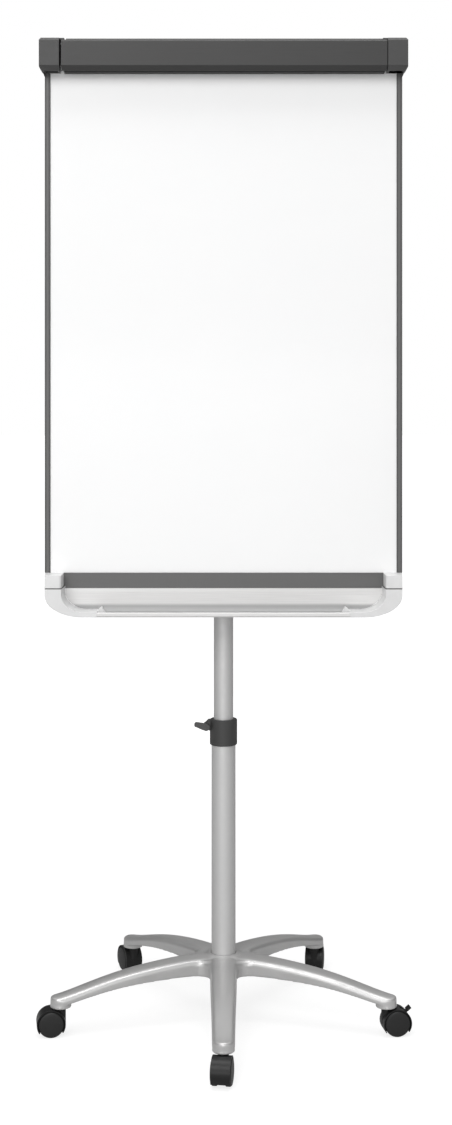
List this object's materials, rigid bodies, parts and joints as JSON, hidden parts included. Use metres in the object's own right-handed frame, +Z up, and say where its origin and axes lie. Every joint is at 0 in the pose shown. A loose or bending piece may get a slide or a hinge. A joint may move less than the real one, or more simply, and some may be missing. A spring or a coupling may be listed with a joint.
{
  "type": "flipchart easel",
  "caption": "Mobile flipchart easel: dry-erase board with hinged pad clamp and pen tray on a telescopic pole, star base with swivel casters.",
  "frame": {"origin": "on the floor, at the middle of the easel's plan", "axes": "+Z up, the writing surface faces -Y, +X to the viewer's right"},
  "size_m": [0.6527, 0.6259, 1.7343],
  "materials": {
    "silver_base": "satin silver paint on a die casting",
    "silver_tube": "satin silver paint",
    "graphite_rail": "graphite anodised extrusion",
    "graphite_bar": "graphite anodised extrusion",
    "graphite_plastic": "fine grained moulding",
    "graphite_lever": "satin moulding",
    "white_enamel": "glossy white dry-erase enamel on sheet steel",
    "board_filling": "honeycomb board",
    "back_sheet": "plain sheet",
    "bracket_metal": "satin graphite paint",
    "tray_silver": "satin anodised extrusion",
    "tray_end_grey": "light grey moulding",
    "caster_hood_black": "black nylon",
    "caster_wheel_black": "black nylon",
    "black_plastic": "black moulding",
    "black_rubber": "black grip strip",
    "pad_peg_metal": "turned steel",
    "zinc_fastener": "zinc plated"
  },
  "bodies": {
    "base": {"base_star": "silver_base", "hub_washer": "zinc_fastener", "hub_bolt": "zinc_fastener", "lower_tube_plug": "black_plastic", "caster_stems": "zinc_fastener", "caster_sockets": "black_plastic", "lower_tube": "silver_tube", "guide_bush": "black_plastic", "height_collar": "graphite_plastic", "clamp_nut": "zinc_fastener"},
    "slide_shoe": {"foot_bush": "black_plastic"},
    "mast": {"upper_tube": "silver_tube", "upper_tube_cap": "black_plastic", "lower_bracket": "bracket_metal", "upper_bracket": "bracket_metal", "bracket_screws": "zinc_fastener", "whiteboard_face": "white_enamel", "board_core": "board_filling", "board_back_sheet": "back_sheet", "left_side_rail": "graphite_rail", "right_side_rail": "graphite_rail", "bottom_rail": "graphite_rail", "top_rail": "graphite_rail", "pad_pegs": "pad_peg_metal", "head_cap_left": "graphite_plastic", "head_cap_right": "graphite_plastic", "clamp_hinge_pins": "zinc_fastener", "tray_trough": "tray_silver", "tray_end_left": "tray_end_grey", "tray_end_right": "tray_end_grey", "corner_block_left": "tray_end_grey", "corner_block_right": "tray_end_grey", "tray_screws": "zinc_fastener"},
    "pad_clamp": {"pad_clamp_bar": "graphite_bar", "clamp_grip_strip": "black_rubber", "clamp_springs": "zinc_fastener"},
    "height_lever": {"clamp_lever": "graphite_lever", "clamp_bolt": "zinc_fastener"},
    "brake": {"brake_lever": "caster_hood_black"},
    "caster_front": {"caster_hood_front": "caster_hood_black", "caster_axle_front": "zinc_fastener"},
    "wheel_front_a": {"caster_wheel_front_a": "caster_wheel_black"},
    "wheel_front_b": {"caster_wheel_front_b": "caster_wheel_black"},
    "caster_front_right": {"caster_hood_front_right": "caster_hood_black", "caster_axle_front_right": "zinc_fastener", "brake_pin": "zinc_fastener"},
    "wheel_front_right_a": {"caster_wheel_front_right_a": "caster_wheel_black"},
    "wheel_front_right_b": {"caster_wheel_front_right_b": "caster_wheel_black"},
    "caster_rear_right": {"caster_hood_rear_right": "caster_hood_black", "caster_axle_rear_right": "zinc_fastener"},
    "wheel_rear_right_a": {"caster_wheel_rear_right_a": "caster_wheel_black"},
    "wheel_rear_right_b": {"caster_wheel_rear_right_b": "caster_wheel_black"},
    "caster_rear_left": {"caster_hood_rear_left": "caster_hood_black", "caster_axle_rear_left": "zinc_fastener"},
    "wheel_rear_left_a": {"caster_wheel_rear_left_a": "caster_wheel_black"},
    "wheel_rear_left_b": {"caster_wheel_rear_left_b": "caster_wheel_black"},
    "caster_front_left": {"caster_hood_front_left": "caster_hood_black", "caster_axle_front_left": "zinc_fastener"},
    "wheel_front_left_a": {"caster_wheel_front_left_a": "caster_wheel_black"},
    "wheel_front_left_b": {"caster_wheel_front_left_b": "caster_wheel_black"}
  },
  "joints": [
    {"name": "height_slide", "type": "slide", "parent": "base", "child": "slide_shoe", "axis": [0, 0, 1], "range_m": [-0.165, 0.165]},
    {"name": "mast_swivel", "type": "hinge", "parent": "slide_shoe", "child": "mast", "pos_m": [0, 0.028, 0.285], "axis": [0, 0, 1], "continuous": true},
    {"name": "pad_clamp_hinge", "type": "hinge", "parent": "mast", "child": "pad_clamp", "pos_m": [0, -0.029, 1.727], "axis": [-1, 0, 0], "range_deg": [0, 90], "stiffness_Nm_per_rad": 0.3, "springref_deg": -57.3},
    {"name": "height_lever_turn", "type": "hinge", "parent": "base", "child": "height_lever", "pos_m": [-0.031, 0.028, 0.519], "axis": [0, -1, 0], "range_deg": [-30, 90]},
    {"name": "swivel_front", "type": "hinge", "parent": "base", "child": "caster_front", "pos_m": [0, -0.269, 0.0474], "axis": [0, 0, 1], "continuous": true},
    {"name": "roll_front_a", "type": "hinge", "parent": "caster_front", "child": "wheel_front_a", "pos_m": [-0.00237, -0.28584, 0.0225], "axis": [0.9903, -0.1392, 0], "continuous": true},
    {"name": "roll_front_b", "type": "hinge", "parent": "caster_front", "child": "wheel_front_b", "pos_m": [-0.00237, -0.28584, 0.0225], "axis": [0.9903, -0.1392, 0], "continuous": true},
    {"name": "swivel_front_right", "type": "hinge", "parent": "base", "child": "caster_front_right", "pos_m": [0.28246, -0.06378, 0.0474], "axis": [0, 0, 1], "continuous": true},
    {"name": "roll_front_right_a", "type": "hinge", "parent": "caster_front_right", "child": "wheel_front_right_a", "pos_m": [0.29927, -0.06124, 0.0225], "axis": [-0.1495, 0.9888, 0], "continuous": true},
    {"name": "roll_front_right_b", "type": "hinge", "parent": "caster_front_right", "child": "wheel_front_right_b", "pos_m": [0.29927, -0.06124, 0.0225], "axis": [-0.1495, 0.9888, 0], "continuous": true},
    {"name": "brake_press", "type": "hinge", "parent": "caster_front_right", "child": "brake", "pos_m": [0.30932, -0.05972, 0.0355], "axis": [-0.1495, 0.9888, 0], "range_deg": [0, 9]},
    {"name": "swivel_rear_right", "type": "hinge", "parent": "base", "child": "caster_rear_right", "pos_m": [0.17457, 0.26828, 0.0474], "axis": [0, 0, 1], "continuous": true},
    {"name": "roll_rear_right_a", "type": "hinge", "parent": "caster_rear_right", "child": "wheel_rear_right_a", "pos_m": [0.17664, 0.28515, 0.0225], "axis": [-0.9925, 0.1219, 0], "continuous": true},
    {"name": "roll_rear_right_b", "type": "hinge", "parent": "caster_rear_right", "child": "wheel_rear_right_b", "pos_m": [0.17664, 0.28515, 0.0225], "axis": [-0.9925, 0.1219, 0], "continuous": true},
    {"name": "swivel_rear_left", "type": "hinge", "parent": "base", "child": "caster_rear_left", "pos_m": [-0.17457, 0.26828, 0.0474], "axis": [0, 0, 1], "continuous": true},
    {"name": "roll_rear_left_a", "type": "hinge", "parent": "caster_rear_left", "child": "wheel_rear_left_a", "pos_m": [-0.18176, 0.28369, 0.0225], "axis": [-0.9063, -0.4226, 0], "continuous": true},
    {"name": "roll_rear_left_b", "type": "hinge", "parent": "caster_rear_left", "child": "wheel_rear_left_b", "pos_m": [-0.18176, 0.28369, 0.0225], "axis": [-0.9063, -0.4226, 0], "continuous": true},
    {"name": "swivel_front_left", "type": "hinge", "parent": "base", "child": "caster_front_left", "pos_m": [-0.28246, -0.06378, 0.0474], "axis": [0, 0, 1], "continuous": true},
    {"name": "roll_front_left_a", "type": "hinge", "parent": "caster_front_left", "child": "wheel_front_left_a", "pos_m": [-0.2993, -0.06614, 0.0225], "axis": [0.1392, -0.9903, 0], "continuous": true},
    {"name": "roll_front_left_b", "type": "hinge", "parent": "caster_front_left", "child": "wheel_front_left_b", "pos_m": [-0.2993, -0.06614, 0.0225], "axis": [0.1392, -0.9903, 0], "continuous": true}
  ]
}
